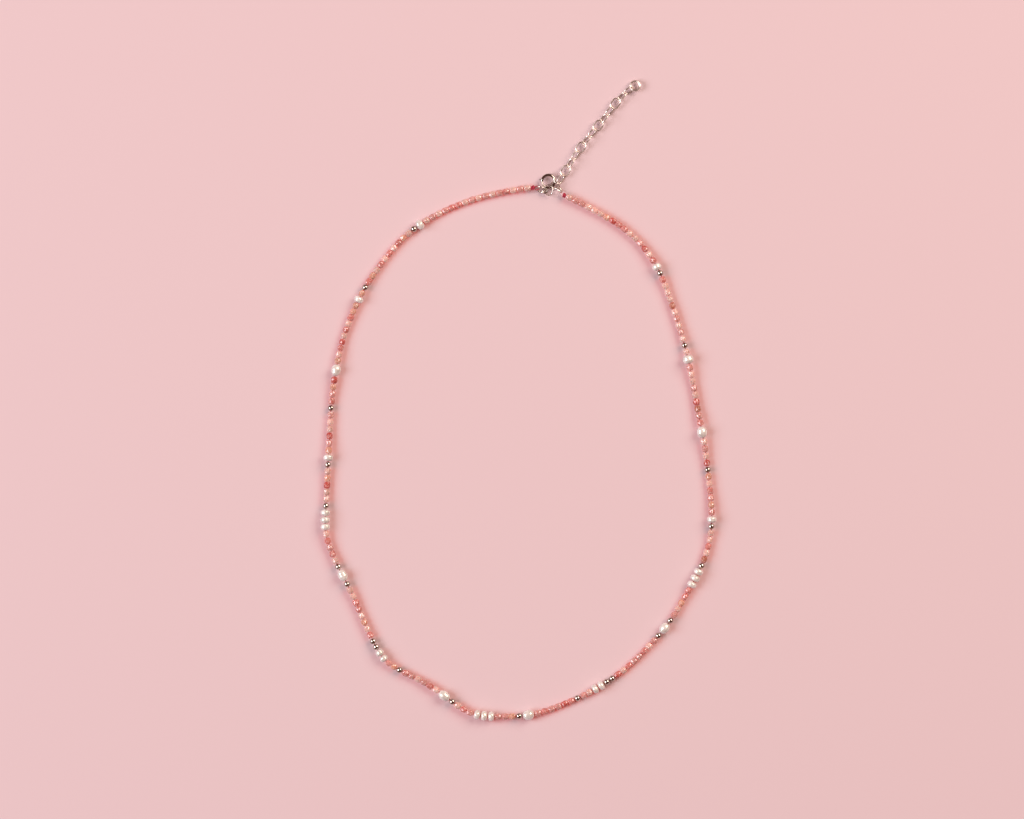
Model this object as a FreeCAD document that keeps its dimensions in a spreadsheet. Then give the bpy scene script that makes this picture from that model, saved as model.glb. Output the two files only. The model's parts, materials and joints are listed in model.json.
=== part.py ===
import FreeCAD, Part
import Sketcher
import math
import os

from FreeCAD import Placement, Rotation, Vector

# A strung bead necklace lying closed on a table, in millimetres. +Z is up, +Y runs from the
# lowest bead of the strand towards the end ring of the extender chain, and the origin is on
# the table under the middle of the whole piece.

UP = Vector(0, 0, 1)

SIZES = {
    # thread and holes
    "thread_diameter": 0.36,
    "hole_diameter": 0.62,
    "bead_gap": 0.1,
    # faceted stone beads
    "facet_diameter": 2.3,
    "facet_end_diameter": 1.3,
    # round silver spacer beads
    "silver_diameter": 2.0,
    # how far along the strand a large pearl lifts its neighbours off the table
    "lift_reach": 8.0,
    # thread knots beside the clasp, and the loop of thread that holds the clasp's ring
    "knot_bend": 0.52,
    "knot_wire": 0.42,
    "knot_spacing": 0.1,
    "loop_bend": 0.6,
    # spring ring clasp: angles are counted from +X about its own centre
    "clasp_bend": 2.05,
    "clasp_tube": 0.45,
    "clasp_bore": 0.35,
    "clasp_height": 1.4,
    "clasp_sweep": 295.0,
    "clasp_start": 245.0,
    "bolt_radius": 0.27,
    "bolt_start": 120.0,
    "bolt_sweep": 124.0,
    "thumb_radius": 0.15,
    "thumb_reach": 3.0,
    "thumb_angle": 168.0,
    "slot_radius": 0.23,
    "slot_start": 112.0,
    "slot_sweep": 62.0,
    "eyelet_bend": 0.7,
    "eyelet_wire": 0.2,
    "eyelet_reach": 3.3,
    "eyelet_angle": 250.0,
    "coil_bend": 0.22,
    "coil_wire": 0.05,
    "coil_start": 26.0,
    "coil_pitch": 4.5,
    # extender chain
    "link_length": 4.1,
    "link_width": 3.0,
    "link_wire": 0.25,
    "link_pitch": 3.0,
    "chain_height": 1.37,
    # jump rings: bend and wire radius of each, and the sweep that leaves their slit
    "ring_sweep": 357.0,
    "clasp_ring_wire": 0.22,
    "charm_ring_bend": 1.76,
    "charm_ring_wire": 0.17,
    "catch_ring_bend": 1.41,
    "catch_ring_wire": 0.2,
    "strand_ring_bend": 1.12,
    "strand_ring_wire": 0.2,
    "end_ring_bend": 1.5,
    "end_ring_wire": 0.37,
    "end_ring_play": 0.12,
}

# Drilled length and width of each pearl, numbered round the strand from the clasp's left side.
PEARLS = {
    "pearl_01": (2.6, 3.4),
    "pearl_02": (2.3, 3.2),
    "pearl_03": (4.0, 3.2),
    "pearl_04": (2.3, 3.3),
    "pearl_05_first": (2.2, 3.2),
    "pearl_05_middle": (2.2, 3.3),
    "pearl_05_last": (2.2, 3.2),
    "pearl_06": (4.1, 3.2),
    "pearl_07_first": (2.2, 2.9),
    "pearl_07_last": (2.1, 2.8),
    "pearl_08": (4.2, 3.2),
    "pearl_09_first": (2.2, 3.2),
    "pearl_09_middle": (2.2, 3.3),
    "pearl_09_last": (2.2, 3.2),
    "pearl_10": (3.9, 3.4),
    "pearl_11_pair": (2.1, 3.2),
    "pearl_12": (4.0, 3.2),
    "pearl_13_first": (2.2, 3.2),
    "pearl_13_middle": (2.2, 3.3),
    "pearl_13_last": (2.2, 3.2),
    "pearl_14": (2.3, 3.3),
    "pearl_15": (3.9, 3.4),
    "pearl_16": (3.0, 3.7),
    "pearl_17": (2.4, 3.2),
}
# These two thin pearls are drilled and turn as one pair, so their node holds two solids.
PAIRED = "pearl_11_pair"

# Groups of beads that are not faceted, in order from the left knot: each group's own place
# on the strand, its beads ("silver" or a pearl's name), and the faceted beads that follow.
SILVER = "silver"
GROUPS = [
    ((-32.7, 56.2), ["pearl_01", SILVER], 10),
    ((-49.5, 36.6), [SILVER], 1),
    ((-51.6, 32.7), ["pearl_02"], 10),
    ((-58.6, 9.8), ["pearl_03"], 4),
    ((-60.7, -2.3), [SILVER], 6),
    ((-61.5, -19.3), ["pearl_04", SILVER], 5),
    ((-62.1, -37.2), [SILVER, "pearl_05_first", "pearl_05_middle", "pearl_05_last"], 5),
    ((-56.6, -56.2), [SILVER, "pearl_06", SILVER], 8),
    ((-45.2, -80.2), [SILVER, SILVER, "pearl_07_first", "pearl_07_last"], 2),
    ((-38.3, -86.6), [SILVER], 6),
    ((-23.0, -95.4), ["pearl_08", SILVER], 3),
    ((-11.1, -101.2), ["pearl_09_first", "pearl_09_middle", "pearl_09_last"], 3),
    ((2.2, -101.3), [SILVER, "pearl_10"], 6),
    ((19.1, -96.0), [SILVER], 2),
    ((27.4, -91.0), ["pearl_11_pair", SILVER, SILVER], 8),
    ((47.1, -73.3), [SILVER, "pearl_12", SILVER], 5),
    ((57.5, -56.2), ["pearl_13_first", "pearl_13_middle", "pearl_13_last", SILVER], 5),
    ((62.3, -39.2), [SILVER, "pearl_14"], 6),
    ((60.7, -22.2), [SILVER], 4),
    ((59.2, -10.1), ["pearl_15"], 9),
    ((54.5, 13.3), ["pearl_16"], 1),
    ((53.5, 17.8), [SILVER], 10),
    ((45.3, 42.3), [SILVER, "pearl_17"], 16),
]
FIRST_FACETS = 16

# Control points of the strand's line, chosen by hand from the left knot round the bottom.
ROUTE = [
    (3.9, 68.55), (-0.9, 68.0), (-6.3, 66.9), (-14.9, 64.9), (-23.8, 61.3), (-32.4, 56.6),
    (-38.6, 51.2), (-44.2, 44.2), (-49.6, 36.6), (-54.3, 26.6), (-57.3, 17.7), (-58.9, 9.0),
    (-60.2, 1.0), (-60.6, -7.0), (-61.0, -15.0), (-61.5, -24.0), (-61.9, -33.6),
    (-62.4, -39.5), (-61.7, -45.0), (-59.4, -50.5), (-56.6, -56.2), (-53.0, -63.0),
    (-49.6, -71.5), (-46.7, -77.6), (-44.5, -81.6), (-42.0, -84.6), (-37.3, -87.2),
    (-30.0, -90.6), (-24.0, -94.6), (-18.6, -99.0), (-13.4, -101.4), (-7.0, -101.5),
    (0.3, -101.6), (7.0, -100.5), (12.7, -98.4), (19.1, -95.8), (26.4, -91.7),
    (33.0, -87.6), (38.5, -82.6), (43.5, -77.3), (48.6, -71.4), (53.0, -64.0),
    (57.0, -56.9), (60.4, -50.0), (62.2, -42.0), (62.2, -34.0), (61.2, -25.0),
    (60.1, -15.2), (58.0, -5.0), (56.4, 4.5), (54.8, 12.5), (53.0, 19.5), (50.6, 27.5),
    (48.3, 34.0), (45.6, 41.5), (41.8, 47.8), (37.0, 53.0), (31.6, 57.3), (25.7, 60.6),
    (20.0, 63.6), (15.3, 65.85),
]

# The strand bends at these silver beads, counted from the left knot. Each belongs to the run
# on its lower side, and the run above turns about its centre.
RUNS = ["upper_left", "lower_left", "bottom", "lower_right", "upper_right"]
PIVOT_SILVERS = [3, 8, 16, 20]

LEFT_KNOT = (4.6, 68.5)
RIGHT_KNOT = (14.75, 66.05)

# Where the clasp and its rings lie: a ring's centre, its heading and the tilt of its plane.
CLASP_CENTRE = (9.6, 70.6)
LOOP_CENTRE = (5.87, 68.44)
CLASP_RING_TILT = 57.0
CHARM_RING = ((9.7, 67.84, 1.4), 90.0, -41.6)
CATCH_RING = ((11.87, 69.28, 1.49), -36.4, 51.3)
STRAND_RING = ((13.18, 67.88, 1.3), -49.1, -68.5)

# Heading of each extender link, from the catch ring to the end ring.
CHAIN_START = (13.56, 71.39)
HEADINGS = [58.75, 59, 58, 56, 54, 52, 50, 51, 52, 53, 51, 46, 36]
ROLLS = [60.0, 0.0, -60.0]
END_RING_TILT = -8.0


def make_sheet(doc):
    """Writes every driving size into the sheet, one named cell each."""
    sheet = doc.addObject("Spreadsheet::Sheet", "sizes")
    rows = dict(SIZES)
    for name, (length, width) in PEARLS.items():
        rows[name + "_length"] = length
        rows[name + "_width"] = width
    for row, (alias, value) in enumerate(rows.items(), start=1):
        sheet.set("A%d" % row, alias.replace("_", " "))
        sheet.set("B%d" % row, "%g" % value)
        sheet.setAlias("B%d" % row, alias)
    doc.recompute()
    return sheet


doc = FreeCAD.newDocument("necklace")
sheet = make_sheet(doc)
nodes = []


def size(alias):
    return float(sheet.get(alias))


def bind(part, **expressions):
    """Binds properties of a document object to cells of the sheet."""
    for name, text in expressions.items():
        part.setExpression(name, text)


def keep(part, label):
    """Marks an object as a sub-part, under the name that its file gets."""
    part.Label = label
    nodes.append(part)
    return part


def shaped(name, shape):
    feature = doc.addObject("Part::Feature", name)
    feature.Shape = shape
    return feature


def along(centre, direction):
    """A placement whose Z axis runs in a direction."""
    return Placement(centre, Rotation(UP, direction))


def polar(reach, degrees):
    angle = math.radians(degrees)
    return Vector(reach * math.cos(angle), reach * math.sin(angle), 0)


# ---- beads ------------------------------------------------------------------------------


def bead_body(name, length, width):
    """A drilled oval bead about its own Z axis, as a body bound to the sheet."""
    body = doc.addObject("PartDesign::Body", name)
    oval = body.newObject("PartDesign::AdditiveEllipsoid", name + "_oval")
    bind(oval, Radius1=length + " / 2", Radius2=width + " / 2", Radius3=width + " / 2")
    drill = body.newObject("PartDesign::SubtractiveCylinder", name + "_hole")
    bind(drill, Radius="sizes.hole_diameter / 2", Height=length + " * 1.2")
    bind(drill, **{".Placement.Base.z": "-" + length + " * 0.6"})
    return body


def faceted_bead(length):
    """A cut rondelle about its own Z axis: a belt of points between two smaller ends."""
    sides = 8
    wide, narrow = size("facet_diameter") / 2, size("facet_end_diameter") / 2
    turn = 360.0 / sides
    belt = [polar(wide, turn * (i + 0.5)) for i in range(sides)]
    faces = []
    for end in (-1, 1):
        rim = [polar(narrow, turn * i) + UP * (end * length / 2) for i in range(sides)]
        faces.append(Part.Face(Part.makePolygon(rim + rim[:1])))
        for i in range(sides):
            after = (i + 1) % sides
            for corners in ((rim[i], rim[after], belt[i]), (belt[i], belt[after], rim[after])):
                faces.append(Part.Face(Part.makePolygon(list(corners) + [corners[0]])))
    bead = Part.makeSolid(Part.makeShell(faces))
    if bead.Volume < 0:
        bead.reverse()
    radius = size("hole_diameter") / 2
    return bead.cut(Part.makeCylinder(radius, length * 2, UP * -length))


# ---- the strand's line ------------------------------------------------------------------


class Line:
    """The strand's line on the table, measured along its length."""

    def __init__(self, poles):
        spline = Part.BSplineCurve()
        spline.buildFromPoles([Vector(x, y, 0) for x, y in poles], False, 3)
        self.points = spline.discretize(Number=6000)
        self.reach = [0.0]
        for before, after in zip(self.points, self.points[1:]):
            self.reach.append(self.reach[-1] + before.distanceToPoint(after))
        self.length = self.reach[-1]

    def nearest(self, place):
        """The distance along the line of the point nearest to a place."""
        place = Vector(place[0], place[1], 0)
        gaps = [place.distanceToPoint(point) for point in self.points]
        return self.reach[gaps.index(min(gaps))]

    def point(self, distance):
        step = self.length / (len(self.points) - 1)
        low = min(max(int(distance / step), 0), len(self.points) - 2)
        while low > 0 and self.reach[low] > distance:
            low -= 1
        while low < len(self.points) - 2 and self.reach[low + 1] < distance:
            low += 1
        share = (distance - self.reach[low]) / (self.reach[low + 1] - self.reach[low])
        return self.points[low] + (self.points[low + 1] - self.points[low]) * share


class Bead:
    """One bead between two joints of the strand's line."""

    def __init__(self, kind, start, end):
        self.kind, self.start, self.end = kind, start, end
        self.run = None


def bead_length(kind):
    if kind == SILVER:
        return size("silver_diameter")
    return size(kind + "_length")


def string_beads(line):
    """Every bead in order, each with the stretch of the line that it fills."""
    gap = size("bead_gap")
    beads = []
    place, facets = 0.0, FIRST_FACETS
    for middle, kinds, next_facets in GROUPS + [(None, [], 0)]:
        solo = [kind for kind in kinds for _ in range(2 if kind == PAIRED else 1)]
        total = sum(bead_length(kind) + gap for kind in solo)
        start = line.nearest(middle) - total / 2 if middle else line.length
        step = (start - place) / facets
        for i in range(facets):
            beads.append(Bead("facet", place + step * i, place + step * (i + 1)))
        for kind in solo:
            beads.append(Bead(kind, start, start + bead_length(kind) + gap))
            start = beads[-1].end
        place, facets = start, next_facets
    return beads


def assign_runs(beads):
    """Splits the strand into its runs at the silver beads that it bends at."""
    silvers = [i for i, bead in enumerate(beads) if bead.kind == SILVER]
    s3, s8, s16, s20 = [silvers[count - 1] for count in PIVOT_SILVERS]
    ends = [s3, s8, s16 + 1, s20 + 1, len(beads)]
    for run, begin, end in zip(RUNS, [0] + ends, ends):
        for bead in beads[begin:end]:
            bead.run = run
    return {
        "upper_left": beads[s3],
        "lower_left": beads[s8],
        "lower_right": beads[s16],
        "upper_right": beads[s20],
    }


def rise_at(distance, lifts):
    """How high the line stands over the table, lifted near the pearls and the clasp."""
    reach = size("lift_reach")
    low = size("facet_diameter") / 2
    lift = 0.0
    for middle, half, top in lifts:
        away = max(0.0, abs(distance - middle) - half)
        if away < reach:
            lift = max(lift, (top - low) * (1 + math.cos(math.pi * away / reach)) / 2)
    return low + lift


def lay_out(line, beads):
    """Gives each bead its two joints in space, its centre and its direction."""
    lifts = [(0.0, 0.0, size("clasp_height")), (line.length, 0.0, size("clasp_height"))]
    for bead in beads:
        if bead.kind in PEARLS:
            middle = (bead.start + bead.end) / 2
            half = (bead.end - bead.start) / 2
            lifts.append((middle, half, size(bead.kind + "_width") / 2))
    for bead in beads:
        bead.near = line.point(bead.start) + UP * rise_at(bead.start, lifts)
        bead.far = line.point(bead.end) + UP * rise_at(bead.end, lifts)
        bead.centre = (bead.near + bead.far) / 2
        bead.axis = (bead.far - bead.near).normalize()


def rounded_path(points, share):
    """Straight runs between the points, joined by tangent arcs that use a share of them."""
    edges = []
    begin = points[0]
    for before, corner, after in zip(points, points[1:], points[2:]):
        inward, outward = corner - before, after - corner
        reach = share * min(inward.Length, outward.Length)
        turn = inward.getAngle(outward)
        inward.normalize()
        outward.normalize()
        if turn < 1e-4:
            continue
        radius = reach / math.tan(turn / 2)
        middle = corner + (outward - inward).normalize() * radius * (1 / math.cos(turn / 2) - 1)
        enter, leave = corner - inward * reach, corner + outward * reach
        edges.append(Part.LineSegment(begin, enter).toShape())
        edges.append(Part.Arc(enter, middle, leave).toShape())
        begin = leave
    edges.append(Part.LineSegment(begin, points[-1]).toShape())
    return Part.Wire(edges)


def cord(points, radius, share=0.25):
    """A round cord along a path, checked against its section times its length."""
    path = rounded_path(points, share)
    circle = Part.makeCircle(radius, points[0], points[1] - points[0])
    solid = path.makePipeShell([Part.Wire([circle])], True, False)
    expected = math.pi * radius**2 * path.Length
    if abs(solid.Volume - expected) > 0.02 * expected:
        raise ValueError("cord volume %.3f, expected %.3f" % (solid.Volume, expected))
    return solid, path.Length


line = Line(ROUTE)
beads = string_beads(line)
pivots = assign_runs(beads)
lay_out(line, beads)


# ---- strand nodes -----------------------------------------------------------------------


def placed(shape, bead):
    copy = shape.copy()
    copy.Placement = along(bead.centre, bead.axis)
    return copy


def facet_room(before, bead, after):
    """The length left for a faceted bead between the joints with its two neighbours."""
    narrow = size("facet_end_diameter") / 2
    room = (bead.far - bead.near).Length - size("bead_gap")
    for other in (before, after):
        if other:
            room -= narrow * math.tan(bead.axis.getAngle(other.axis) / 2)
    return room


def knot(centre, axis):
    """Two turns of thread pulled tight round the strand's own thread."""
    turns = Part.makeSphere(size("knot_bend"), centre)
    for side in (-1, 1):
        middle = centre + axis * (side * size("knot_spacing"))
        turns = turns.fuse(Part.makeTorus(size("knot_bend"), size("knot_wire"), middle, axis))
    return turns


def make_run(run, silver_bead):
    """The thread, faceted beads and silver beads of one run of the strand."""
    mine = [i for i, bead in enumerate(beads) if bead.run == run]
    facets, silvers = [], []
    for i in mine:
        bead = beads[i]
        if bead.kind == "facet":
            before = beads[i - 1] if i else None
            after = beads[i + 1] if i + 1 < len(beads) else None
            facets.append(placed(faceted_bead(facet_room(before, bead, after)), bead))
        elif bead.kind == SILVER:
            silvers.append(placed(silver_bead.Shape, bead))
    keep(shaped(run + "_facets", Part.makeCompound(facets)), "facet_beads_" + run)
    keep(shaped(run + "_silvers", Part.makeCompound(silvers)), "silver_beads_" + run)

    first, last = beads[mine[0]], beads[mine[-1]]
    points = [first.near] + [beads[i].far for i in mine]
    back = size("bead_gap") * 1.5
    if first.kind == SILVER:
        points[0] = first.near + first.axis * back
    if last.kind == SILVER:
        points[-1] = last.far - last.axis * back
    if run == "upper_left":
        points.insert(0, Vector(*LEFT_KNOT, size("clasp_height")))
    if run == "upper_right":
        points.append(Vector(*RIGHT_KNOT, size("clasp_height")))
    thread, length = cord(points, size("thread_diameter") / 2)
    if run == "upper_left":
        thread = thread.fuse(knot(points[0], (points[1] - points[0]).normalize()))
        loop_centre = Vector(*LOOP_CENTRE, size("clasp_height"))
        wire = size("thread_diameter") / 2
        thread = thread.fuse(Part.makeTorus(size("loop_bend"), wire, loop_centre, UP))
    if run == "upper_right":
        thread = thread.fuse(knot(points[-1], (points[-1] - points[-2]).normalize()))
    keep(shaped(run + "_thread", thread), "thread_" + run)
    return length


def make_pearls():
    """A body for each pearl, and one feature for the two that turn as a pair."""
    for name in PEARLS:
        mine = [bead for bead in beads if bead.kind == name]
        lengths = ("sizes.%s_length" % name, "sizes.%s_width" % name)
        if name == PAIRED:
            master = bead_body(name + "_master", *lengths)
            doc.recompute()
            # one shared line, so that the pair turns about it without touching
            axis = (mine[1].far - mine[0].near).normalize()
            centre = (mine[1].far + mine[0].near) / 2
            reach = (size(name + "_length") + size("bead_gap")) / 2
            pair = []
            for side in (-1, 1):
                copy = master.Shape.copy()
                copy.Placement = along(centre + axis * (side * reach), axis)
                pair.append(copy)
            keep(shaped(name + "_beads", Part.makeCompound(pair)), name)
        else:
            body = bead_body(name + "_body", *lengths)
            body.Placement = along(mine[0].centre, mine[0].axis)
            keep(body, name)


# ---- rings, clasp and chain -------------------------------------------------------------


def ring_plane(heading, tilt):
    """A ring's own X along its heading and its own Y tilted up from the table."""
    ahead = polar(1, heading)
    side = polar(1, heading + 90)
    climb = math.radians(tilt)
    across = side * math.cos(climb) + UP * math.sin(climb)
    return Rotation(ahead, across, ahead.cross(across), "ZXY")


def jump_ring(name, bend, wire, centre, turn):
    """A ring of round wire whose two ends meet at a slit."""
    ring = doc.addObject("Part::Torus", name + "_wire")
    bind(ring, Radius1=bend, Radius2=wire, Angle3="sizes.ring_sweep")
    ring.Placement = Placement(centre, turn)
    return keep(ring, name)


def torus_arc(name, bend, wire, start, sweep):
    """A bent rod or tube about the clasp's centre, from one angle through a sweep."""
    arc = doc.addObject("Part::Torus", name)
    bind(arc, Radius1=bend, Radius2=wire, Angle3=sweep)
    arc.Placement = Placement(clasp_centre, Rotation(UP, start))
    return arc


def combine(kind, name, base, tool):
    joined = doc.addObject(kind, name)
    joined.Base, joined.Tool = base, tool
    return joined


def make_clasp():
    """A spring ring: a hollow tube with a slot, a bolt with a thumb knob, and a coil."""
    bend = "sizes.clasp_bend"
    start = size("clasp_start")
    outer = torus_arc("tube_outside", bend, "sizes.clasp_tube", start, "sizes.clasp_sweep")
    bore = torus_arc("tube_bore", bend, "sizes.clasp_bore", start, "sizes.clasp_sweep")
    slot = torus_arc("thumb_slot", bend + " + sizes.clasp_tube", "sizes.slot_radius",
                     size("slot_start"), "sizes.slot_sweep")
    eyelet = doc.addObject("Part::Torus", "eyelet")
    bind(eyelet, Radius1="sizes.eyelet_bend", Radius2="sizes.eyelet_wire")
    eyelet.Placement = Placement(eyelet_centre, Rotation())
    solid = combine("Part::Fuse", "tube_and_eyelet", outer, eyelet)
    hollow = combine("Part::Cut", "hollow_tube", solid, bore)
    keep(combine("Part::Cut", "slotted_tube", hollow, slot), "spring_ring_tube")

    rod = torus_arc("bolt_rod", bend, "sizes.bolt_radius", size("bolt_start"),
                    "sizes.bolt_sweep")
    thumb = doc.addObject("Part::Cylinder", "thumb_knob")
    bind(thumb, Radius="sizes.thumb_radius", Height="sizes.thumb_reach - sizes.clasp_bend")
    outward = polar(1, size("thumb_angle"))
    thumb.Placement = along(clasp_centre + outward * size("clasp_bend"), outward)
    keep(combine("Part::Fuse", "bolt_and_knob", rod, thumb), "spring_ring_bolt")

    turns = []
    angle = size("coil_start")
    while angle < size("bolt_start") - size("coil_pitch") / 2:
        middle = clasp_centre + polar(size("clasp_bend"), angle)
        turns.append(Part.makeTorus(size("coil_bend"), size("coil_wire"), middle,
                                    polar(1, angle + 90)))
        angle += size("coil_pitch")
    keep(shaped("coil_turns", Part.makeCompound(turns)), "spring_ring_coil")


def make_rings():
    tilted = {
        "charm_ring": CHARM_RING,
        "catch_ring": CATCH_RING,
        "strand_ring": STRAND_RING,
    }
    span = eyelet_centre - loop_centre
    bent = doc.addObject("Part::Torus", "clasp_ring_wire")
    bind(bent, Radius2="sizes.clasp_ring_wire", Angle3="sizes.ring_sweep")
    bent.Radius1 = span.Length / 2
    heading = math.degrees(math.atan2(span.y, span.x))
    bent.Placement = Placement((eyelet_centre + loop_centre) / 2,
                               ring_plane(heading, CLASP_RING_TILT))
    keep(bent, "clasp_ring")
    for name, (centre, heading, tilt) in tilted.items():
        jump_ring(name, "sizes.%s_bend" % name, "sizes.%s_wire" % name, Vector(*centre),
                  ring_plane(heading, tilt))


def chain_places():
    """Each link's centre and turn, and the point that it swings about on the one before."""
    half = size("link_pitch") / 2
    centre = Vector(*CHAIN_START, size("chain_height"))
    places = []
    pivot = centre - polar(half, HEADINGS[0])
    for count, heading in enumerate(HEADINGS):
        centre = pivot + polar(half, heading)
        places.append((centre, heading, ROLLS[count % len(ROLLS)], pivot))
        pivot = centre + polar(half, heading)
    return places, pivot


def link_body(name):
    """An oval link of round wire, swept along a slot-shaped path in its own XY plane."""
    body = doc.addObject("PartDesign::Body", name)
    planes = {plane.Role: plane for plane in body.Origin.OriginFeatures}
    path = body.newObject("Sketcher::SketchObject", name + "_path")
    path.AttachmentSupport = (planes["XY_Plane"], "")
    path.MapMode = "FlatFace"
    bend = (size("link_width")) / 2 - size("link_wire")
    side = size("link_length") / 2 - size("link_wire") - bend
    path.addGeometry([
        Part.LineSegment(Vector(-side, bend, 0), Vector(side, bend, 0)),
        Part.ArcOfCircle(Part.Circle(Vector(side, 0, 0), UP, bend), -math.pi / 2, math.pi / 2),
        Part.LineSegment(Vector(side, -bend, 0), Vector(-side, -bend, 0)),
        Part.ArcOfCircle(Part.Circle(Vector(-side, 0, 0), UP, bend), math.pi / 2,
                         3 * math.pi / 2),
    ], False)
    join = Sketcher.Constraint
    path.addConstraint([
        join("Tangent", 0, 2, 1, 2),
        join("Tangent", 1, 1, 2, 1),
        join("Tangent", 2, 2, 3, 2),
        join("Tangent", 3, 1, 0, 1),
        join("PointOnObject", 1, 3, -1),
        join("Horizontal", 0),
        join("Symmetric", 1, 3, 3, 3, -1, 1),
        join("Radius", 1, bend),
        join("DistanceX", 3, 3, 1, 3, 2 * side),
    ])
    path.renameConstraint(7, "bend")
    path.renameConstraint(8, "straight")
    path.setExpression("Constraints.bend", "sizes.link_width / 2 - sizes.link_wire")
    path.setExpression("Constraints.straight", "sizes.link_length - sizes.link_width")
    wire = body.newObject("Sketcher::SketchObject", name + "_wire")
    wire.AttachmentSupport = (planes["YZ_Plane"], "")
    wire.MapMode = "FlatFace"
    wire.addGeometry(Part.Circle(Vector(bend, 0, 0), UP, size("link_wire")), False)
    wire.addConstraint([
        join("PointOnObject", 0, 3, -1),
        join("Radius", 0, size("link_wire")),
        join("DistanceX", -1, 1, 0, 3, bend),
    ])
    wire.renameConstraint(1, "radius")
    wire.renameConstraint(2, "offset")
    wire.setExpression("Constraints.radius", "sizes.link_wire")
    wire.setExpression("Constraints.offset", "sizes.link_width / 2 - sizes.link_wire")
    pipe = body.newObject("PartDesign::AdditivePipe", name + "_pipe")
    pipe.Profile = wire
    pipe.Spine = path
    return body


def make_chain():
    places, end_pivot = chain_places()
    for count, (centre, heading, roll, pivot) in enumerate(places, start=1):
        link = link_body("link_%02d_body" % count)
        link.Placement = Placement(centre, ring_plane(heading, roll))
        keep(link, "chain_link_%02d" % count)
    # from the last link's far end back by both wires and their play, then on by the bend
    overhang = (size("link_length") - size("link_pitch")) / 2 - size("link_wire")
    back = size("link_wire") + size("end_ring_wire") + size("end_ring_play")
    centre = end_pivot + polar(overhang - back + size("end_ring_bend"), HEADINGS[-1])
    jump_ring("end_ring", "sizes.end_ring_bend", "sizes.end_ring_wire", centre,
              ring_plane(HEADINGS[-1], END_RING_TILT))
    return end_pivot


clasp_centre = Vector(*CLASP_CENTRE, size("clasp_height"))
loop_centre = Vector(*LOOP_CENTRE, size("clasp_height"))
eyelet_centre = clasp_centre + polar(size("eyelet_reach"), size("eyelet_angle"))

silver_body = bead_body("silver_master", "sizes.silver_diameter", "sizes.silver_diameter")
doc.recompute()
thread_length = 0.0
for run in RUNS:
    thread_length += make_run(run, silver_body)
make_pearls()
make_clasp()
make_rings()
end_pivot = make_chain()
doc.recompute()

for item in doc.Objects:
    if "Invalid" in item.State or "Error" in item.State:
        raise RuntimeError("%s failed: %s" % (item.Name, item.State))
os.makedirs("parts", exist_ok=True)
box = FreeCAD.BoundBox()
for node in nodes:
    shape = node.Shape
    if shape.isNull() or not shape.isValid() or shape.Volume <= 0:
        raise RuntimeError("%s has no valid solid" % node.Label)
    box.add(shape.BoundBox)
    shape.exportStep("parts/%s.step" % node.Label)
print("nodes %d, thread %.1f mm" % (len(nodes), thread_length))
print("box from (%.2f, %.2f, %.2f) to (%.2f, %.2f, %.2f)" % (
    box.XMin, box.YMin, box.ZMin, box.XMax, box.YMax, box.ZMax))
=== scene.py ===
import json
import math
import random

import bmesh
import bpy
from mathutils import Matrix, Vector, noise

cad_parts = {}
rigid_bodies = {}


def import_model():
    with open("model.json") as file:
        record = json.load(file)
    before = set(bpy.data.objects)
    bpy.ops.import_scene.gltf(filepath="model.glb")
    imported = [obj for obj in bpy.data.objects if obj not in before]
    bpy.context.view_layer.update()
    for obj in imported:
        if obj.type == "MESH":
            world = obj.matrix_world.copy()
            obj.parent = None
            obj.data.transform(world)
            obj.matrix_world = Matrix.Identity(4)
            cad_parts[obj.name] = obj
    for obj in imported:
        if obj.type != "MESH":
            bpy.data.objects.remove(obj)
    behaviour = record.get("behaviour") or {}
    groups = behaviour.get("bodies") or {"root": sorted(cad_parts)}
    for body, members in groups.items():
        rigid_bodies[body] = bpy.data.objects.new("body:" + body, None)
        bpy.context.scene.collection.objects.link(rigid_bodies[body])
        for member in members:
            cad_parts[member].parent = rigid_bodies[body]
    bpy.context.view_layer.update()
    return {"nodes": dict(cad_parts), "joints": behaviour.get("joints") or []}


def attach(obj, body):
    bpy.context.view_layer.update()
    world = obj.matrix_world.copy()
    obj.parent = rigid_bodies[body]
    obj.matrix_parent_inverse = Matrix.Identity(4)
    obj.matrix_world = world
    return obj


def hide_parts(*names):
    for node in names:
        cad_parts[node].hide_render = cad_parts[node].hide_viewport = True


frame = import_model()

MM = 0.001
UP = Vector((0, 0, 1))

# The faceted stones of each run in order from the left knot: p pale, k pink, r rose,
# d deep red, o peach, b brown.
STONES = {
    "upper_left": "pkprkpkpkprrkpkp" "porprprpor" "o" "oorprpdrpo" "dokr",
    "lower_left": "kppdko" "podpp" "prkrp" "pprrpopr",
    "bottom": "ko" "rkpkrp" "prk" "kko" "krkkdr" "kp" "dprkkrpk",
    "lower_right": "kporr" "bprpp" "rokrpo",
    "upper_right": "dpkp" "rkbdpkppk" "p" "pkpkpbpppr" "rpdkpprrdopppkkp",
}
STONE_COLOURS = {
    "p": "#D8B0A4",
    "k": "#C98F87",
    "r": "#C67A72",
    "d": "#B9574F",
    "o": "#CF9881",
    "b": "#B06C58",
}
HOLE_RADIUS = 0.31 * MM
STONE_LENGTH, STONE_RADIUS, STONE_CUTS = 1.75 * MM, 1.15 * MM, 6
BALL_LENGTH, BALL_RADIUS = 1.9 * MM, 1.0 * MM

# The thread, its knots at the two ends of the strand, and the loop tied past the left knot.
THREAD_SIZES = {
    "Thread_radius": 0.18 * MM,
    "Plies": 3,
    "Ply_depth": 0.12,
    "Twist_per_step": 0.35,
    "Step": 0.12 * MM,
}
KNOTS = {
    "upper_left": Vector((4.6, 68.5, 1.4)) * MM,
    "upper_right": Vector((14.75, 66.05, 1.4)) * MM,
}
LOOP = Vector((5.87, 68.44, 1.4)) * MM
LOOP_RADIUS = 0.6 * MM

# ---- helpers ------------------------------------------------------------------------------


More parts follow.
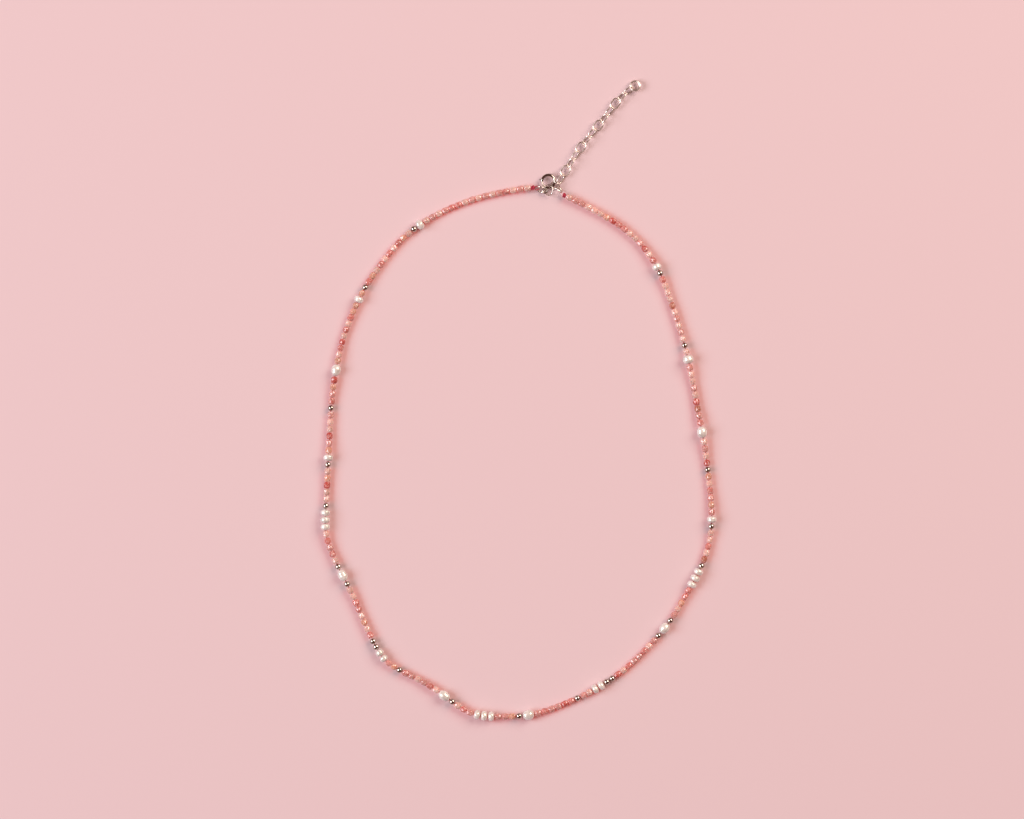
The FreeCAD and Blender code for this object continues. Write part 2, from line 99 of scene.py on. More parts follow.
def linear(hex_colour):
    """An sRGB hex colour as linear RGBA."""
    parts = [int(hex_colour[i : i + 2], 16) / 255 for i in (1, 3, 5)]
    rgb = [c / 12.92 if c <= 0.04045 else ((c + 0.055) / 1.055) ** 2.4 for c in parts]
    return (*rgb, 1.0)


def add(tree, kind, inputs=(), **settings):
    """Adds a node, sets its properties, and fills or links its inputs."""
    made = tree.nodes.new(kind)
    for name, value in settings.items():
        setattr(made, name, value)
    for key, value in dict(inputs).items():
        socket = made.inputs[key]
        if isinstance(value, bpy.types.NodeSocket):
            tree.links.new(value, socket)
        else:
            socket.default_value = value
    return made


def piece(name, mesh, body, *replaced, slot=None):
    """Puts a finished mesh in the scene, on its body, in place of CAD nodes."""
    obj = bpy.data.objects.new(name, mesh)
    bpy.context.scene.collection.objects.link(obj)
    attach(obj, body)
    if replaced:
        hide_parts(*replaced)
    return obj


def islands(node):
    """The corner points of each separate solid of a CAD node."""
    bm = bmesh.new()
    bm.from_mesh(frame["nodes"][node].data)
    bmesh.ops.remove_doubles(bm, verts=bm.verts, dist=1e-6)
    seen, found = set(), []
    for start in bm.verts:
        if start in seen:
            continue
        group, queue = [], [start]
        seen.add(start)
        while queue:
            vert = queue.pop()
            group.append(vert.co.copy())
            for edge in vert.link_edges:
                other = edge.other_vert(vert)
                if other not in seen:
                    seen.add(other)
                    queue.append(other)
        found.append(group)
    bm.free()
    return found


def middle(points):
    """The middle of the box round some points."""
    low = Vector([min(p[i] for p in points) for i in range(3)])
    high = Vector([max(p[i] for p in points) for i in range(3)])
    return (low + high) / 2


def extent(points, centre, axis):
    """Length along an axis and greatest radius about it."""
    along = [(p - centre).dot(axis) for p in points]
    radius = max(((p - centre) - axis * a).length for p, a in zip(points, along))
    return max(along) - min(along), radius


def upright(centre, axis):
    """A matrix that puts a shape built about +Z on an axis through a centre."""
    return Matrix.Translation(centre) @ axis.to_track_quat("Z", "Y").to_matrix().to_4x4()


def on_bore(radius):
    """Whether a point this far from a bead's axis lies on the wall of its hole."""
    return radius <= HOLE_RADIUS * 1.05


def finished(bm, name, smooth):
    """Turns a worked mesh into a named one, shaded smooth or flat."""
    mesh = bpy.data.meshes.new(name)
    for face in bm.faces:
        face.smooth = smooth
    bm.to_mesh(mesh)
    bm.free()
    return mesh


# ---- materials ----------------------------------------------------------------------------


def new_material(name):
    """A fresh material, its node tree and its main shader."""
    material = bpy.data.materials.new(name)
    material.use_nodes = True
    tree = material.node_tree
    shader = tree.nodes["Principled BSDF"]
    return material, tree, shader


def set_inputs(shader, **values):
    """Sets constants on the shader's own sockets."""
    for name, value in values.items():
        shader.inputs[name.replace("_", " ")].default_value = value


def two_tones(ramp, dark, light):
    """Sets the two stops of a colour ramp, each given as a place and a hex colour."""
    for stop, (place, hex_colour) in zip(ramp.color_ramp.elements, (dark, light)):
        stop.position, stop.color = place, linear(hex_colour)


def let_light_through(tree, shader, share, tint):
    """A translucent bead: part of the light that would stop in it goes on, tinted, so that
    its shadow glows."""
    path = add(tree, "ShaderNodeLightPath")
    through = add(tree, "ShaderNodeMath", {0: path.outputs["Is Shadow Ray"], 1: share},
                  operation="MULTIPLY")
    tinted = add(tree, "ShaderNodeBsdfTransparent", {"Color": linear(tint)})
    mixed = add(tree, "ShaderNodeMixShader",
                {0: through.outputs[0], 1: shader.outputs["BSDF"], 2: tinted.outputs["BSDF"]})
    tree.links.new(mixed.outputs[0], tree.nodes["Material Output"].inputs["Surface"])


def nacre():
    """Freshwater pearl nacre, grown in thin layers: a soft satin gloss over a cream white,
    with a faint rose and green play where the layers catch the light."""
    material, tree, shader = new_material("freshwater nacre")
    place = add(tree, "ShaderNodeTexCoord")
    clouds = add(tree, "ShaderNodeTexNoise",
                 {"Vector": place.outputs["Object"], "Scale": 0.6 / MM, "Detail": 3.0})
    tint = add(tree, "ShaderNodeValToRGB", {"Fac": clouds.outputs["Fac"]})
    two_tones(tint, (0.35, "#D8D0C5"), (0.65, "#F3EEE6"))
    tree.links.new(tint.outputs["Color"], shader.inputs["Base Color"])
    layers = add(tree, "ShaderNodeTexNoise",
                 {"Vector": place.outputs["Object"], "Scale": 1.6 / MM, "Detail": 2.0})
    gloss = add(tree, "ShaderNodeMapRange",
                {"Value": layers.outputs["Fac"], "To Min": 0.2, "To Max": 0.3})
    tree.links.new(gloss.outputs["Result"], shader.inputs["Roughness"])
    bump = add(tree, "ShaderNodeBump",
               {"Height": layers.outputs["Fac"], "Strength": 0.12, "Distance": 0.05 * MM})
    tree.links.new(bump.outputs["Normal"], shader.inputs["Normal"])
    set_inputs(shader, Metallic=0.2, IOR=1.68, Coat_Weight=1.0, Coat_Roughness=0.2,
               Coat_IOR=1.65, Thin_Film_Thickness=380.0, Thin_Film_IOR=1.45)
    let_light_through(tree, shader, 0.7, "#F3A493")
    return material


def cut_stone():
    """Pink rhodochrosite and rhodonite, cut and tumbled bright: light goes a little way in
    and glows pink, small flat facets flash, and paler veins run through each bead."""
    material, tree, shader = new_material("cut pink stone")
    own = add(tree, "ShaderNodeAttribute", attribute_name="stone_colour")
    place = add(tree, "ShaderNodeTexCoord")
    veins = add(tree, "ShaderNodeTexNoise",
                {"Vector": place.outputs["Object"], "Scale": 1.3 / MM, "Detail": 5.0,
                 "Distortion": 1.2})
    amount = add(tree, "ShaderNodeMapRange",
                 {"Value": veins.outputs["Fac"], "From Min": 0.52, "From Max": 0.66,
                  "To Max": 0.5})
    specks = add(tree, "ShaderNodeTexNoise",
                 {"Vector": place.outputs["Object"], "Scale": 2.6 / MM, "Detail": 3.0})
    shade = add(tree, "ShaderNodeMapRange",
                {"Value": specks.outputs["Fac"], "From Min": 0.3, "From Max": 0.5,
                 "To Min": 0.62, "To Max": 1.0})
    mixed = add(tree, "ShaderNodeMix", {0: amount.outputs["Result"],
                6: own.outputs["Color"], 7: linear("#F7DED4")}, data_type="RGBA")
    flecked = add(tree, "ShaderNodeVectorMath",
                  {0: mixed.outputs[2], "Scale": shade.outputs["Result"]}, operation="SCALE")
    tree.links.new(flecked.outputs["Vector"], shader.inputs["Base Color"])
    set_inputs(shader, Roughness=0.1, IOR=1.62, Subsurface_Weight=0.45,
               Subsurface_Scale=0.7 * MM, Subsurface_Radius=(1.0, 0.45, 0.4),
               Coat_Weight=0.3, Coat_Roughness=0.05)
    let_light_through(tree, shader, 0.87, "#FAAB9D")
    return material


def polished_silver(name, hex_colour, haze_colour, roughness):
    """Sterling silver, drawn or pressed and then barrel polished: a bright warm white mirror,
    clouded a little by tarnish that dulls its reflections in patches."""
    material, tree, shader = new_material(name)
    place = add(tree, "ShaderNodeTexCoord")
    haze = add(tree, "ShaderNodeTexNoise",
               {"Vector": place.outputs["Object"], "Scale": 0.8 / MM, "Detail": 4.0})
    tint = add(tree, "ShaderNodeValToRGB", {"Fac": haze.outputs["Fac"]})
    two_tones(tint, (0.3, haze_colour), (0.6, hex_colour))
    tree.links.new(tint.outputs["Color"], shader.inputs["Base Color"])
    rub = add(tree, "ShaderNodeMapRange",
              {"Value": haze.outputs["Fac"], "To Min": roughness * 0.7,
               "To Max": roughness * 1.6})
    tree.links.new(rub.outputs["Result"], shader.inputs["Roughness"])
    set_inputs(shader, Metallic=1.0)
    return material


def bead_thread():
    """Crimson bonded nylon bead thread, twisted from plies: a low sheen, darker in the
    grooves between the plies."""
    material, tree, shader = new_material("twisted nylon bead thread")
    place = add(tree, "ShaderNodeTexCoord")
    fibres = add(tree, "ShaderNodeTexNoise",
                 {"Vector": place.outputs["Object"], "Scale": 6.0 / MM, "Detail": 3.0})
    tint = add(tree, "ShaderNodeValToRGB", {"Fac": fibres.outputs["Fac"]})
    two_tones(tint, (0.3, "#7E0F2C"), (0.7, "#D02B4A"))
    tree.links.new(tint.outputs["Color"], shader.inputs["Base Color"])
    bump = add(tree, "ShaderNodeBump",
               {"Height": fibres.outputs["Fac"], "Strength": 0.4, "Distance": 0.03 * MM})
    tree.links.new(bump.outputs["Normal"], shader.inputs["Normal"])
    set_inputs(shader, Roughness=0.5, Sheen_Weight=0.3, Sheen_Roughness=0.4)
    return material


def backdrop_card():
    """Matt coated backdrop card in pale pink, with a fine tooth."""
    material, tree, shader = new_material("pale pink backdrop card")
    place = add(tree, "ShaderNodeTexCoord")
    tooth = add(tree, "ShaderNodeTexNoise",
                {"Vector": place.outputs["Object"], "Scale": 0.5 / MM, "Detail": 2.0})
    bump = add(tree, "ShaderNodeBump",
               {"Height": tooth.outputs["Fac"], "Strength": 0.03, "Distance": 0.1 * MM})
    tree.links.new(bump.outputs["Normal"], shader.inputs["Normal"])
    set_inputs(shader, Base_Color=linear("#D2BBBD"), Roughness=0.85)
    return material


# ---- where the beads sit ------------------------------------------------------------------


def bored(points, guess):
    """Centre, axis, length and greatest radius of a drilled bead from its CAD corners."""
    centre = middle(points)
    near_axis = HOLE_RADIUS + 0.19 * MM
    rims = [p for p in points
            if ((p - centre) - guess * (p - centre).dot(guess)).length < near_axis]
    front = [p for p in rims if (p - centre).dot(guess) > 0]
    back = [p for p in rims if (p - centre).dot(guess) <= 0]
    if front and back:
        ahead = sum(front, Vector()) / len(front)
        behind = sum(back, Vector()) / len(back)
        guess, centre = (ahead - behind).normalized(), (ahead + behind) / 2
    length, radius = extent(points, centre, guess)
    return {"centre": centre, "axis": guess, "length": length, "radius": radius}


def walk(found, start):
    """The solids in order along the strand, each with its bead measures."""
    rest = [dict(item, at=middle(item["points"])) for item in found]
    order, here = [], start
    while rest:
        nearest = min(rest, key=lambda item: (item["at"] - here).length)
        rest.remove(nearest)
        order.append(nearest)
        here = nearest["at"]
    for i, item in enumerate(order):
        before = order[max(i - 1, 0)]["at"]
        after = order[min(i + 1, len(order) - 1)]["at"]
        item.update(bored(item["points"], (after - before).normalized()))
    return order


RUNS = list(STONES)
PEARL_NODES = [name for name in frame["nodes"] if name.startswith("pearl_")]
solids = []
for run in RUNS:
    for kind in ("facet_beads_", "silver_beads_"):
        for group in islands(kind + run):
            solids.append({"kind": kind, "node": kind + run, "run": run, "points": group})
for name in PEARL_NODES:
    for group in islands(name):
        solids.append({"kind": "pearl", "node": name, "run": None, "points": group})
strand = walk(solids, KNOTS["upper_left"])

# A pearl is counted with the run of the bead that follows it.
for bead, following in zip(strand[-2::-1], strand[:0:-1]):
    bead["run"] = bead["run"] or following["run"]

# A pearl's own joint says exactly where it is drilled.
SPINS = {j["child"]: j for j in frame["joints"]}
for bead in strand:
    if bead["kind"] == "pearl":
        spin = SPINS[bead["node"]]
        on_axis, axis = Vector(spin["pos_m"]), Vector(spin["axis"]).normalized()
        if axis.dot(bead["axis"]) < 0:
            axis = -axis
        centre = on_axis + axis * (bead["at"] - on_axis).dot(axis)
        length, radius = extent(bead["points"], centre, axis)
        bead.update(centre=centre, axis=axis, length=length, radius=radius)


def beads_of(run, kind=None):
    """The beads of one run in order, all of them or those of one kind."""
    return [b for b in strand if b["run"] == run and kind in (None, b["kind"])]


# ---- drilled beads ------------------------------------------------------------------------


def lathe(profile, sides, stagger=False, jitter=0.0, seed=0):
    """A closed drilled bead: rings of points about +Z, the last joined to the first."""
    chance = random.Random(seed)
    bm = bmesh.new()
    rings = []
    for level, (z, radius) in enumerate(profile):
        shift = 0.5 if stagger and level % 2 else 0.0
        ring = []
        for i in range(sides):
            turn = 2 * math.pi * (i + shift) / sides
            wobble = 1.0 if on_bore(radius) else 1.0 - jitter * chance.random()
            lift = 0.0 if on_bore(radius) else jitter * 0.6 * chance.uniform(-1, 1) * radius
            spot = (radius * wobble * math.cos(turn), radius * wobble * math.sin(turn), z + lift)
            ring.append(bm.verts.new(spot))
        rings.append(ring)
    for level, ring in enumerate(rings):
        following = rings[(level + 1) % len(rings)]
        for i in range(sides):
            j = (i + 1) % sides
            if not stagger:
                bm.faces.new((ring[i], ring[j], following[j], following[i]))
            elif level % 2 == 0:
                bm.faces.new((ring[i], ring[j], following[i]))
                bm.faces.new((ring[j], following[j], following[i]))
            else:
                bm.faces.new((ring[i], ring[j], following[j]))
                bm.faces.new((ring[i], following[j], following[i]))
    bmesh.ops.recalc_face_normals(bm, faces=bm.faces)
    return bm


def stone_template(seed):
    """A small stone cut into three rows of uneven facets, its arrises slightly worn."""
    end, belly, end_radius, wear = 0.5 * STONE_LENGTH, 0.22 * STONE_LENGTH, 0.8 * MM, 0.035 * MM
    profile = [
        (-end, HOLE_RADIUS),
        (-end, end_radius),
        (-belly, STONE_RADIUS),
        (belly, STONE_RADIUS),
        (end, end_radius),
        (end, HOLE_RADIUS),
    ]
    bm = lathe(profile, 8, stagger=True, jitter=0.09, seed=seed)
    arrises = [e for e in bm.edges if e.calc_face_angle(0) > 0.15]
    bmesh.ops.bevel(bm, geom=arrises, offset=wear, segments=1, affect="EDGES")
    return finished(bm, f"cut_{seed}", smooth=False)


def silver_template():
    """A seamless pressed silver ball, drilled, with the rims of the bore turned in."""
    steps, turned_in = 20, 0.88 * BALL_RADIUS
    first = math.asin(HOLE_RADIUS * 1.12 / BALL_RADIUS)
    profile = [(-turned_in, HOLE_RADIUS)]
    for i in range(steps + 1):
        tilt = first + (math.pi - 2 * first) * i / steps
        profile.append((-BALL_RADIUS * math.cos(tilt), BALL_RADIUS * math.sin(tilt)))
    profile.append((turned_in, HOLE_RADIUS))
    return finished(lathe(profile, 32), "silver_ball", smooth=True)


# ---- Geometry Nodes: a template threaded along a run --------------------------------------


def empty_tree(name, start, result, **inputs):
    """A Geometry Nodes tree with named inputs: the tree, the identifiers of its input
    sockets, and its group input's and group output's sockets."""
    tree = bpy.data.node_groups.new(name, "GeometryNodeTree")
    identifiers = {}
    for label, kind in {start: "Geometry", **inputs}.items():
        label = label.replace("_", " ")
        socket = tree.interface.new_socket(label, in_out="INPUT", socket_type="NodeSocket" + kind)
        identifiers[label] = socket.identifier
    tree.interface.new_socket(result, in_out="OUTPUT", socket_type="NodeSocketGeometry")
    given = tree.nodes.new("NodeGroupInput").outputs
    made = tree.nodes.new("NodeGroupOutput").inputs
    return tree, identifiers, given, made


def grown(name, mesh, tree, identifiers, **values):
    """What a tree makes of a mesh, as one plain mesh."""
    holder = bpy.data.objects.new(name + "_holder", mesh)
    bpy.context.scene.collection.objects.link(holder)
    modifier = holder.modifiers.new("growing", "NODES")
    modifier.node_group = tree
    for label, value in values.items():
        modifier[identifiers[label.replace("_", " ")]] = value
    graph = bpy.context.evaluated_depsgraph_get()
    made = bpy.data.meshes.new_from_object(holder.evaluated_get(graph), depsgraph=graph)
    made.name = name
    holder.modifiers.remove(modifier)
    bpy.data.objects.remove(holder)
    return made


def threading_tree(name, material):
    """Puts a template on each point of a run, turned and stretched as its attributes say."""
    tree, identifiers, given, made = empty_tree(
        name, "Places", "Beads",
        Templates="Collection", Last_template="Int", Smallest_size="Float", Spin="Float",
        Seed="Int")

    templates = add(tree, "GeometryNodeCollectionInfo",
                    {"Collection": given["Templates"], "Separate Children": True,
                     "Reset Children": True})
    turn = add(tree, "GeometryNodeInputNamedAttribute", {"Name": "turn"},
               data_type="FLOAT_VECTOR")
    stretch = add(tree, "GeometryNodeInputNamedAttribute", {"Name": "stretch"},
                  data_type="FLOAT_VECTOR")
    which = add(tree, "FunctionNodeRandomValue",
                {4: 0, 5: given["Last template"], 8: given["Seed"]}, data_type="INT")
    spin = add(tree, "FunctionNodeRandomValue", {3: given["Spin"], 8: given["Seed"]},
               data_type="FLOAT")
    about = add(tree, "ShaderNodeCombineXYZ", {"Z": spin.outputs[1]})
    facing = add(tree, "FunctionNodeEulerToRotation", {"Euler": turn.outputs["Attribute"]})
    own_turn = add(tree, "FunctionNodeEulerToRotation", {"Euler": about.outputs["Vector"]})
    turned = add(tree, "FunctionNodeRotateRotation",
                 {"Rotation": facing.outputs["Rotation"],
                  "Rotate By": own_turn.outputs["Rotation"]}, rotation_space="LOCAL")
    size = add(tree, "FunctionNodeRandomValue",
               {2: given["Smallest size"], 3: 1.0, 8: given["Seed"]}, data_type="FLOAT")
    scale = add(tree, "ShaderNodeVectorMath",
                {0: stretch.outputs["Attribute"], "Scale": size.outputs[1]},
                operation="SCALE")
    placed = add(tree, "GeometryNodeInstanceOnPoints",
                 {"Points": given["Places"], "Instance": templates.outputs["Instances"],
                  "Pick Instance": True, "Instance Index": which.outputs[2],
                  "Rotation": turned.outputs["Rotation"], "Scale": scale.outputs["Vector"]})
    solid = add(tree, "GeometryNodeRealizeInstances", {"Geometry": placed.outputs["Instances"]})
    painted = add(tree, "GeometryNodeSetMaterial",
                  {"Geometry": solid.outputs["Geometry"], "Material": material})
    tree.links.new(painted.outputs["Geometry"], made["Beads"])
    return tree, identifiers


def places_mesh(name, items, unit_length, unit_radius, colours=None):
    """One point for each bead of a run, carrying how it is turned, stretched and coloured."""
    mesh = bpy.data.meshes.new(name)
    mesh.from_pydata([item["centre"] for item in items], [], [])
    turn = mesh.attributes.new("turn", "FLOAT_VECTOR", "POINT")
    stretch = mesh.attributes.new("stretch", "FLOAT_VECTOR", "POINT")
    for i, item in enumerate(items):
        turn.data[i].vector = item["axis"].to_track_quat("Z", "Y").to_euler()
        across = item["radius"] / unit_radius
        stretch.data[i].vector = (across, across, item["length"] / unit_length)
    if colours:
        colour = mesh.attributes.new("stone_colour", "FLOAT_COLOR", "POINT")
        for i, value in enumerate(colours):
            colour.data[i].color = value
    return mesh


def own_seed(name):
    """A fixed seed worked out from a name, so that each run differs and none ever changes."""
    return sum(map(ord, name))


def template_set(name, meshes):
    """A collection of templates, out of the scene, for a tree to pick from."""
    kept = bpy.data.collections.new(name)
    for i, mesh in enumerate(meshes):
        kept.objects.link(bpy.data.objects.new(f"{name}_{i}", mesh))
    return kept


def discard(kept):
    """Removes a set of templates once every run is threaded."""
    for obj in list(kept.objects):
        bpy.data.objects.remove(obj)
    bpy.data.collections.remove(kept)


def stone_colours(run):
    """The colour of each stone, a little lighter or darker from one to the next."""
    chance = random.Random(own_seed(run))
    colours = []
    for letter in STONES[run]:
        shade = chance.uniform(0.88, 1.1)
        rgb = linear(STONE_COLOURS[letter])[:3]
        colours.append([*(min(1.0, part * shade) for part in rgb), 1])
    return colours


stone = cut_stone()
silver_ball = polished_silver("pressed silver ball", "#CFC8BE", "#A89E92", 0.08)
stone_cuts = template_set("stone_cuts", [stone_template(seed) for seed in range(STONE_CUTS)])
silver_balls = template_set("silver_balls", [silver_template()])
stone_threading = threading_tree("stones on a thread", stone)
ball_threading = threading_tree("balls on a thread", silver_ball)
for run in RUNS:
    name = "stones_" + run
    stones = beads_of(run, "facet_beads_")
    places = places_mesh(name + "_places", stones, STONE_LENGTH, STONE_RADIUS, stone_colours(run))
    mesh = grown(name, places, *stone_threading, Templates=stone_cuts,
                 Last_template=STONE_CUTS - 1, Smallest_size=0.93, Spin=2 * math.pi,
                 Seed=own_seed(name))
    piece(name, mesh, run + "_run", "facet_beads_" + run, slot="faceted_stone")

    name = "silver_" + run
    balls = beads_of(run, "silver_beads_")
    places = places_mesh(name + "_places", balls, BALL_LENGTH, BALL_RADIUS)
    mesh = grown(name, places, *ball_threading, Templates=silver_balls, Last_template=0,
                 Smallest_size=1.0, Spin=2 * math.pi, Seed=own_seed(name))
    piece(name, mesh, run + "_run", "silver_beads_" + run, slot="silver_bead")
discard(stone_cuts)
discard(silver_balls)

# ---- pearls -------------------------------------------------------------------------------

NACRE = nacre()

# How square each form's outline is; 2 is a plain ellipse.
SQUARENESS = {"button": 2.25, "rice": 2.0, "potato": 2.1}


def pearl_form(half, radius):
    """The trade's name for a pearl of this half length and radius."""
    if half > radius * 1.05:
        return "rice"
    return "button" if half < radius * 0.86 else "potato"


def pearl_profile(half, radius, groove, depth):
    """A rounded outline with one shallow ring grown into it at a given height."""
    power, steps, groove_width = SQUARENESS[pearl_form(half, radius)], 22, 0.16
    first = math.asin(min(1.0, HOLE_RADIUS * 1.15 / radius))
    profile = [(-0.9 * half, HOLE_RADIUS)]
    for i in range(steps + 1):
        tilt = first + (math.pi - 2 * first) * i / steps
        cos, sin = math.cos(tilt), math.sin(tilt)
        z = -math.copysign(abs(cos) ** (2 / power), cos)
        ring = 1 - depth * math.exp(-(((z - groove) / groove_width) ** 2))
        profile.append((z * half, radius * ring * sin ** (2 / power)))
    profile.append((0.9 * half, HOLE_RADIUS))
    return profile


def dent(bm, radius, drift):
    """Presses soft broad and fine hollows into a pearl, and keeps its greatest radius."""
    skin = [v for v in bm.verts if not on_bore(math.hypot(v.co.x, v.co.y))]
    for vert in skin:
        away = math.hypot(vert.co.x, vert.co.y) / radius
        broad = noise.noise(vert.co / (2.4 * MM) + drift) * 0.5 + 0.5
        fine = noise.noise(vert.co / (0.9 * MM) - drift) * 0.5 + 0.5
        hollow = 1 - away * (0.09 * broad + 0.02 * fine)
        vert.co.x *= hollow
        vert.co.y *= hollow
    widest = max(math.hypot(v.co.x, v.co.y) for v in skin)
    for vert in skin:
        vert.co.x *= radius / widest
        vert.co.y *= radius / widest


def pearl_mesh(name, items):
    """Drilled pearls, each a little uneven, as one mesh."""
    joined = bmesh.new()
    for item in items:
        half, radius = item["length"] / 2, item["radius"]
        chance = random.Random(name + str(round(half, 6)))
        drift = Vector([chance.uniform(-50, 50) for _ in range(3)])
        groove, depth = chance.uniform(-0.3, 0.3), chance.uniform(0.015, 0.075)
        bm = lathe(pearl_profile(half, radius, groove, depth), 40)
        dent(bm, radius, drift)
        bm.transform(upright(item["centre"], item["axis"]))
        part = finished(bm, name + "_part", smooth=True)
        joined.from_mesh(part)
        bpy.data.meshes.remove(part)
    mesh = finished(joined, name, smooth=True)
    mesh.materials.append(NACRE)
    return mesh


for node in PEARL_NODES:
    items = [b for b in strand if b["node"] == node]
    piece("nacre_" + node, pearl_mesh(node, items), node, node, slot="pearl")

# ---- thread: plies laid along the strand, with its knots and loop -------------------------


def laying_tree(material):
    """Sweeps a lobed section, turning like laid plies, along every line it is given."""
    tree, identifiers, given, made = empty_tree(
        "laid thread", "Lines", "Thread",
        Thread_radius="Float", Plies="Int", Ply_depth="Float", Twist_per_step="Float",
        Step="Float")

    lines = add(tree, "GeometryNodeMeshToCurve", {"Mesh": given["Lines"]})
    even = add(tree, "GeometryNodeResampleCurve",
               {"Curve": lines.outputs["Curve"], "Length": given["Step"]}, mode="LENGTH")
    count = add(tree, "GeometryNodeInputIndex")
    laid = add(tree, "ShaderNodeMath",
               {0: count.outputs["Index"], 1: given["Twist per step"]}, operation="MULTIPLY")
    twisted = add(tree, "GeometryNodeSetCurveTilt",
                  {"Curve": even.outputs["Curve"], "Tilt": laid.outputs[0]})
    circle = add(tree, "GeometryNodeCurvePrimitiveCircle",
                 {"Resolution": 12, "Radius": given["Thread radius"]})
    place = add(tree, "GeometryNodeInputPosition")
    parts = add(tree, "ShaderNodeSeparateXYZ", {0: place.outputs[0]})
    angle = add(tree, "ShaderNodeMath", {0: parts.outputs["Y"], 1: parts.outputs["X"]},
                operation="ARCTAN2")
    lobes = add(tree, "ShaderNodeMath", {0: angle.outputs[0], 1: given["Plies"]},
                operation="MULTIPLY")
    wave = add(tree, "ShaderNodeMath", {0: lobes.outputs[0]}, operation="COSINE")
    below = add(tree, "ShaderNodeMath", {0: wave.outputs[0], 1: 1.0}, operation="SUBTRACT")
    depth = add(tree, "ShaderNodeMath", {0: below.outputs[0], 1: given["Ply depth"]},
                operation="MULTIPLY")
    inward = add(tree, "ShaderNodeVectorMath",
                 {0: place.outputs[0], "Scale": depth.outputs[0]}, operation="SCALE")
    section = add(tree, "GeometryNodeSetPosition",
                  {"Geometry": circle.outputs["Curve"], "Offset": inward.outputs["Vector"]})
    swept = add(tree, "GeometryNodeCurveToMesh",
                {"Curve": twisted.outputs["Curve"], "Profile Curve": section.outputs["Geometry"],
                 "Fill Caps": True})
    solid = add(tree, "GeometryNodeRealizeInstances", {"Geometry": swept.outputs["Mesh"]})
    painted = add(tree, "GeometryNodeSetMaterial",
                  {"Geometry": solid.outputs["Geometry"], "Material": material})
    tree.links.new(painted.outputs["Geometry"], made["Thread"])
    return tree, identifiers


def knot_line(centre, axis, seed):
    """A few tight turns round the strand, uneven as a hand-tied knot is, inside a ball."""
    chance = random.Random(seed)
    turn_to = axis.to_track_quat("Z", "Y")
    points, turns, steps = [], 8, 20
    reach, ball, girth, unevenness, slant = 0.42 * MM, 0.62 * MM, 0.6 * MM, 0.14 * MM, 0.07 * MM
    drift = [chance.uniform(0, 6.28) for _ in range(3)]
    for i in range(turns * steps + 1):
        share = i / (turns * steps)
        angle = 2 * math.pi * i / steps
        sweep = reach * math.sin(2 * math.pi * share * 2.5 + drift[0])
        taper = math.sqrt(1 - (sweep / ball) ** 2)
        radius = (girth + unevenness * math.sin(angle * 0.31 + drift[1])) * taper
        lean = slant * math.sin(angle + drift[2])
        spot = Vector((radius * math.cos(angle), radius * math.sin(angle), sweep + lean))
        points.append(centre + turn_to @ spot)
    return points


def ring_line(centre, radius):
    """A level ring of points."""
    steps = 40
    return [centre + Vector((radius * math.cos(2 * math.pi * i / steps),
                             radius * math.sin(2 * math.pi * i / steps), 0))
            for i in range(steps)]


def lines_mesh(name, lines, closed):
    """Open and closed lines of points as the edges of one mesh."""
    points, edges = [], []
    for number, line in enumerate(lines + closed):
        first = len(points)
        points += line
        edges += [(i, i + 1) for i in range(first, len(points) - 1)]
        if number >= len(lines):
            edges.append((len(points) - 1, first))
    mesh = bpy.data.meshes.new(name)
    mesh.from_pydata(points, edges, [])
    return mesh


laying = laying_tree(bead_thread())
for run in RUNS:
    path = []
    for bead in beads_of(run):
        reach = bead["axis"] * bead["length"] / 2
        path += [bead["centre"] - reach, bead["centre"] + reach]
    lines, closed = [path], []
    if run == "upper_left":
        knot = KNOTS[run]
        path.insert(0, knot)
        lines.append(knot_line(knot, (path[1] - knot).normalized(), 3))
        closed.append(ring_line(LOOP, LOOP_RADIUS))
        lines.append([knot, LOOP - Vector((LOOP_RADIUS, 0, 0))])
    if run == "upper_right":
        knot = KNOTS[run]
        path.append(knot)
        lines.append(knot_line(knot, (knot - path[-2]).normalized(), 5))
    name = "cord_" + run
    mesh = grown(name, lines_mesh(name + "_lines", lines, closed), *laying, **THREAD_SIZES)
    for face in mesh.polygons:
        face.use_smooth = True
    piece(name, mesh, run + "_run", "thread_" + run, slot="thread")

# ---- CAD nodes kept in view, in better materials ------------------------------------------

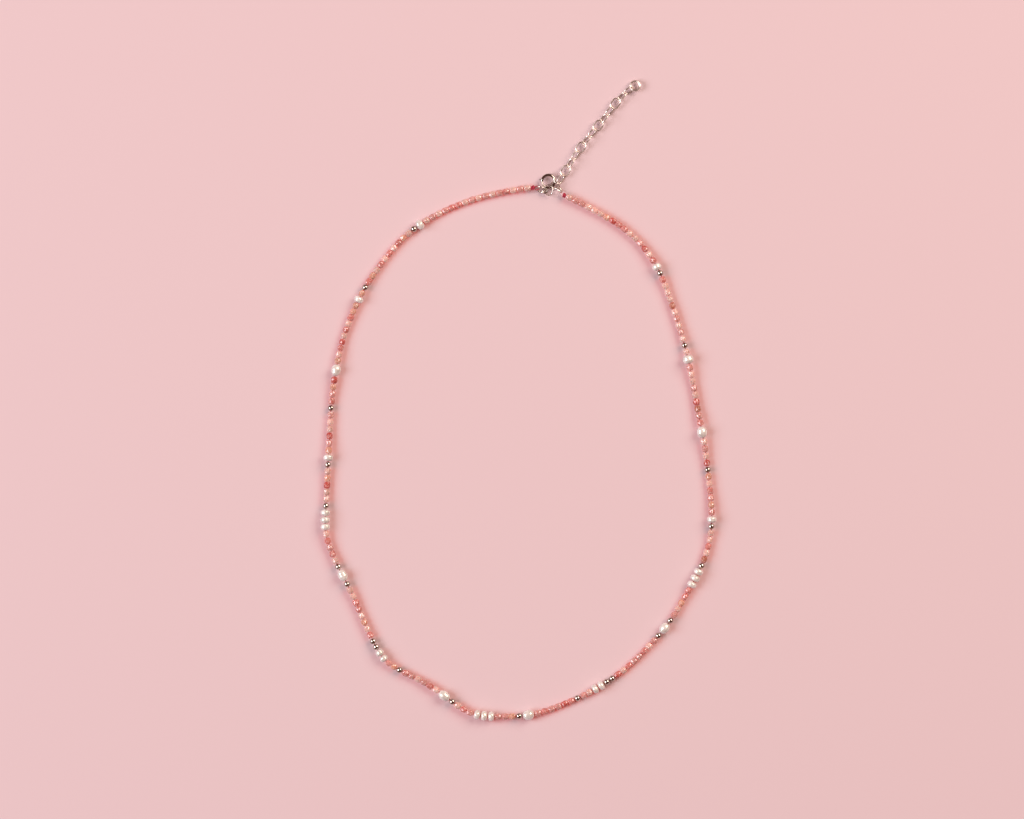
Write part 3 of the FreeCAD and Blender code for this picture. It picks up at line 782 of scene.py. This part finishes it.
WIRE = polished_silver("drawn silver wire", "#FBF6EC", "#DDD5C8", 0.3)
RING = polished_silver("jump ring silver", "#E6E0D6", "#BDB4A6", 0.16)
# The clasp's silver gets darker base tones than the other silver: painted shade, standing in for
# the dark room its mirror reflects.
CLASP_DARKENED_AS_SHADE = polished_silver("pressed silver tube", "#BDB6AB", "#958C80", 0.1)
for name, obj in frame["nodes"].items():
    finish = None
    if name.startswith("chain_link_") or name == "end_ring":
        finish = WIRE
    elif name.startswith("spring_ring_"):
        finish = CLASP_DARKENED_AS_SHADE
    elif name.endswith("_ring"):
        finish = RING
    if finish:
        for holder in obj.material_slots:
            holder.material = finish

# ---- table, camera and light --------------------------------------------------------------

AIM = Vector((-2.1, -2.8, 0)) * MM
CAMERA_HEIGHT = 1.2
CARD_REACH = 1.6
ROOM_LIGHT = {"Color": linear("#C08478"), "Strength": 0.3}

corners = [(-1, -1), (1, -1), (1, 1), (-1, 1)]
card_mesh = bpy.data.meshes.new("backdrop")
card_mesh.from_pydata([(x * CARD_REACH, y * CARD_REACH, 0) for x, y in corners],
                      [], [(0, 1, 2, 3)])
card_mesh.materials.append(backdrop_card())
card = bpy.data.objects.new("backdrop", card_mesh)
bpy.context.scene.collection.objects.link(card)

camera_data = bpy.data.cameras.new("overhead")
camera_data.lens = 131.0
camera_data.sensor_width = 36.0
camera_data.clip_start = 0.01
camera = bpy.data.objects.new("overhead", camera_data)
camera.location = AIM + UP * CAMERA_HEIGHT
bpy.context.scene.collection.objects.link(camera)
bpy.context.scene.camera = camera


def softbox(name, place, width, height, watts, colour):
    """A rectangular diffused studio light aimed at the middle of the table."""
    data = bpy.data.lights.new(name, "AREA")
    data.shape = "RECTANGLE"
    data.size, data.size_y = width, height
    data.energy = watts
    data.color = linear(colour)[:3]
    obj = bpy.data.objects.new(name, data)
    obj.location = place
    obj.rotation_euler = (Vector(place) - AIM).to_track_quat("Z", "Y").to_euler()
    bpy.context.scene.collection.objects.link(obj)


softbox("left softbox", (-1.75, -0.1, 1.4), 1.6, 1.3, 55.0, "#F8F4FB")
softbox("right softbox", (1.15, 0.9, 1.2), 1.3, 1.1, 36.0, "#FFEBDF")

world = bpy.data.worlds.new("dim studio")
world.use_nodes = True
set_inputs(world.node_tree.nodes["Background"], **ROOM_LIGHT)
bpy.context.scene.world = world
bpy.context.scene.view_settings.view_transform = "Standard"
